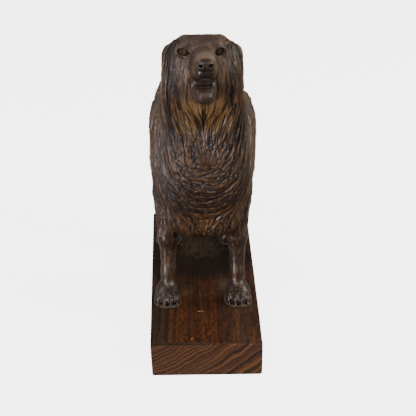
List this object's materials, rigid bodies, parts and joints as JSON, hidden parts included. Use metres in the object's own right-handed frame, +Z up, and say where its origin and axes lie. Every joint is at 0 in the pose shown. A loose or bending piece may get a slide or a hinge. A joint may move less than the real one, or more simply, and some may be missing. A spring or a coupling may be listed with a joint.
{
  "type": "carved wooden dog figurine",
  "caption": "Standing long-haired dog carved in dark hardwood, head raised and mouth open, on a rectangular hardwood plinth.",
  "frame": {"origin": "middle of the plinth's underside", "axes": "+Z up, the dog looks along -Y, +X to the dog's left"},
  "size_m": [0.0774, 0.216, 0.2326],
  "materials": {
    "figure_wood": "dark carved hardwood, hand polished",
    "plinth_wood": "striped dark hardwood, waxed",
    "dowel_wood": "plain turned hardwood",
    "eye_glass": "amber, dulled by old wax"
  },
  "bodies": {
    "root": {"plinth": "plinth_wood", "dog_figure": "figure_wood", "eye_left": "eye_glass", "eye_right": "eye_glass", "dowel_front_left": "dowel_wood", "dowel_front_right": "dowel_wood", "dowel_hind_left": "dowel_wood", "dowel_hind_right": "dowel_wood"}
  },
  "joints": []
}
